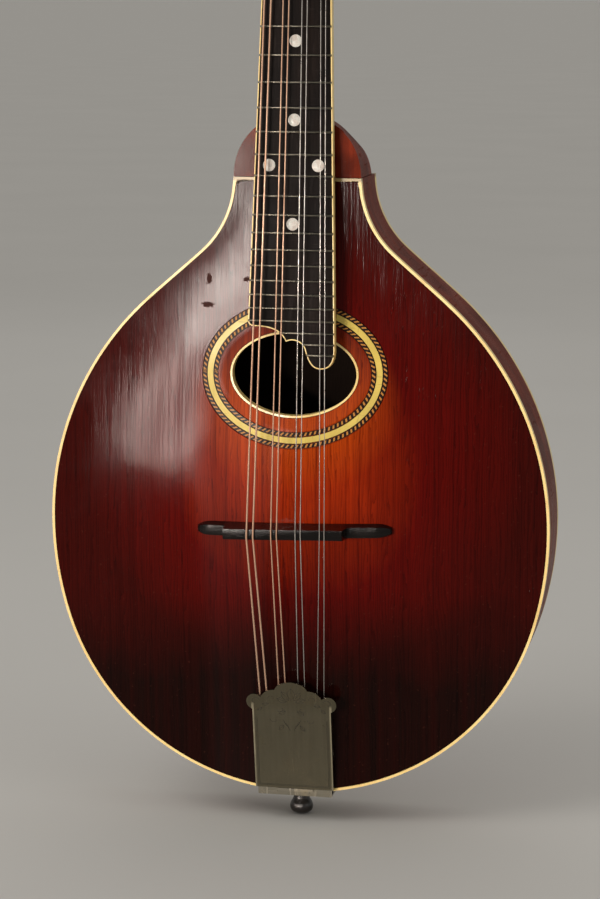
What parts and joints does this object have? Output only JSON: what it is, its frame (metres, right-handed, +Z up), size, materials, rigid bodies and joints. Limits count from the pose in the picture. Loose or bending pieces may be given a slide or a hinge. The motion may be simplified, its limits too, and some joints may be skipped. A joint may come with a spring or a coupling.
{
  "type": "flat oval-hole mandolin",
  "caption": "Pear-bodied mandolin with an oval sound hole, paired strings, a floating bridge, a sliding tailpiece cover and geared tuners.",
  "frame": {"origin": "centre of the end pin's flat outer face, at the tail of the body", "axes": "+Z up the body and neck to the headstock, -Y out of the sounding top, +X to the treble side"},
  "size_m": [0.257, 0.0991, 0.6626],
  "materials": {
    "spruce_top": "dark red sunburst lacquer over spruce",
    "maple_back": "red-brown lacquer",
    "neck_wood": "red-brown lacquer",
    "bare_wood": "bare wood",
    "ivory": "aged cream celluloid",
    "rope_inlay": "slanted two-tone wood strips",
    "ebony": "rubbed black wood",
    "pearl": "mother of pearl",
    "bone": "polished bone",
    "nickel": "worn nickel plate",
    "brass": "brass",
    "steel": "plain steel wire",
    "bronze": "bronze-wound wire",
    "button": "aged cream plastic"
  },
  "bodies": {
    "instrument": {"top_plate": "spruce_top", "back_plate": "maple_back", "rim": "maple_back", "top_lining_bass": "bare_wood", "top_lining_treble": "bare_wood", "back_lining_bass": "bare_wood", "back_lining_treble": "bare_wood", "neck_block": "bare_wood", "tail_block": "bare_wood", "cross_brace": "bare_wood", "top_binding": "ivory", "back_binding": "ivory", "soundhole_binding": "ivory", "rosette_purfling_inner": "rope_inlay", "rosette_ring": "ivory", "rosette_purfling_outer": "rope_inlay", "neck": "neck_wood", "headstock_veneer": "ebony", "nut": "bone", "fretboard": "ebony", "fretboard_binding": "ivory", "dot_fret_5": "pearl", "dot_fret_7": "pearl", "dot_fret_10": "pearl", "dot_fret_12_bass": "pearl", "dot_fret_12_treble": "pearl", "dot_fret_15": "pearl", "bridge": "ebony", "string_g1": "bronze", "string_g2": "bronze", "string_d1": "bronze", "string_d2": "bronze", "string_a1": "steel", "string_a2": "steel", "string_e1": "steel", "string_e2": "steel", "tailpiece_base": "nickel", "end_pin": "ebony", "tailpiece_screw_1": "nickel", "tailpiece_screw_2": "nickel", "tailpiece_screw_3": "nickel", "tuner_plate_bass": "nickel", "tuner_plate_treble": "nickel"},
    "cover": {"tailpiece_cover": "nickel"},
    "post_bass_1": {"tuner_post_bass_1": "brass"},
    "post_bass_2": {"tuner_post_bass_2": "brass"},
    "post_bass_3": {"tuner_post_bass_3": "brass"},
    "post_bass_4": {"tuner_post_bass_4": "brass"},
    "post_treble_1": {"tuner_post_treble_1": "brass"},
    "post_treble_2": {"tuner_post_treble_2": "brass"},
    "post_treble_3": {"tuner_post_treble_3": "brass"},
    "post_treble_4": {"tuner_post_treble_4": "brass"},
    "button_bass_1": {"tuner_button_bass_1": "button"},
    "button_bass_2": {"tuner_button_bass_2": "button"},
    "button_bass_3": {"tuner_button_bass_3": "button"},
    "button_bass_4": {"tuner_button_bass_4": "button"},
    "button_treble_1": {"tuner_button_treble_1": "button"},
    "button_treble_2": {"tuner_button_treble_2": "button"},
    "button_treble_3": {"tuner_button_treble_3": "button"},
    "button_treble_4": {"tuner_button_treble_4": "button"}
  },
  "joints": [
    {"name": "cover_slide", "type": "slide", "parent": "instrument", "child": "cover", "axis": [0, -0.1937, 0.9811], "range_m": [0, 0.045]},
    {"name": "button_bass_1_turn", "type": "hinge", "parent": "instrument", "child": "button_bass_1", "pos_m": [-0.0175, 0.01872, 0.53758], "axis": [-1, 0, 0], "continuous": true},
    {"name": "button_bass_2_turn", "type": "hinge", "parent": "instrument", "child": "button_bass_2", "pos_m": [-0.0175, 0.026, 0.5594], "axis": [-1, 0, 0], "continuous": true},
    {"name": "button_bass_3_turn", "type": "hinge", "parent": "instrument", "child": "button_bass_3", "pos_m": [-0.0175, 0.03329, 0.58121], "axis": [-1, 0, 0], "continuous": true},
    {"name": "button_bass_4_turn", "type": "hinge", "parent": "instrument", "child": "button_bass_4", "pos_m": [-0.0175, 0.04058, 0.60303], "axis": [-1, 0, 0], "continuous": true},
    {"name": "button_treble_1_turn", "type": "hinge", "parent": "instrument", "child": "button_treble_1", "pos_m": [0.0175, 0.01872, 0.53758], "axis": [1, 0, 0], "continuous": true},
    {"name": "button_treble_2_turn", "type": "hinge", "parent": "instrument", "child": "button_treble_2", "pos_m": [0.0175, 0.026, 0.5594], "axis": [1, 0, 0], "continuous": true},
    {"name": "button_treble_3_turn", "type": "hinge", "parent": "instrument", "child": "button_treble_3", "pos_m": [0.0175, 0.03329, 0.58121], "axis": [1, 0, 0], "continuous": true},
    {"name": "button_treble_4_turn", "type": "hinge", "parent": "instrument", "child": "button_treble_4", "pos_m": [0.0175, 0.04058, 0.60303], "axis": [1, 0, 0], "continuous": true},
    {"name": "post_bass_1_turn", "type": "hinge", "parent": "instrument", "child": "post_bass_1", "pos_m": [-0.0175, 0.00516, 0.55065], "axis": [0, -0.9485, 0.3168], "continuous": true},
    {"name": "post_bass_2_turn", "type": "hinge", "parent": "instrument", "child": "post_bass_2", "pos_m": [-0.0175, 0.01245, 0.57247], "axis": [0, -0.9485, 0.3168], "continuous": true},
    {"name": "post_bass_3_turn", "type": "hinge", "parent": "instrument", "child": "post_bass_3", "pos_m": [-0.0175, 0.01973, 0.59428], "axis": [0, -0.9485, 0.3168], "continuous": true},
    {"name": "post_bass_4_turn", "type": "hinge", "parent": "instrument", "child": "post_bass_4", "pos_m": [-0.0175, 0.02702, 0.6161], "axis": [0, -0.9485, 0.3168], "continuous": true},
    {"name": "post_treble_1_turn", "type": "hinge", "parent": "instrument", "child": "post_treble_1", "pos_m": [0.0175, 0.00516, 0.55065], "axis": [0, -0.9485, 0.3168], "continuous": true},
    {"name": "post_treble_2_turn", "type": "hinge", "parent": "instrument", "child": "post_treble_2", "pos_m": [0.0175, 0.01245, 0.57247], "axis": [0, -0.9485, 0.3168], "continuous": true},
    {"name": "post_treble_3_turn", "type": "hinge", "parent": "instrument", "child": "post_treble_3", "pos_m": [0.0175, 0.01973, 0.59428], "axis": [0, -0.9485, 0.3168], "continuous": true},
    {"name": "post_treble_4_turn", "type": "hinge", "parent": "instrument", "child": "post_treble_4", "pos_m": [0.0175, 0.02702, 0.6161], "axis": [0, -0.9485, 0.3168], "continuous": true}
  ],
  "couplings": [
    {"joint": "post_bass_1_turn", "follows": "button_bass_1_turn", "ratio": 0.083333},
    {"joint": "post_bass_2_turn", "follows": "button_bass_2_turn", "ratio": 0.083333},
    {"joint": "post_bass_3_turn", "follows": "button_bass_3_turn", "ratio": 0.083333},
    {"joint": "post_bass_4_turn", "follows": "button_bass_4_turn", "ratio": 0.083333},
    {"joint": "post_treble_1_turn", "follows": "button_treble_1_turn", "ratio": -0.083333},
    {"joint": "post_treble_2_turn", "follows": "button_treble_2_turn", "ratio": -0.083333},
    {"joint": "post_treble_3_turn", "follows": "button_treble_3_turn", "ratio": -0.083333},
    {"joint": "post_treble_4_turn", "follows": "button_treble_4_turn", "ratio": -0.083333}
  ]
}
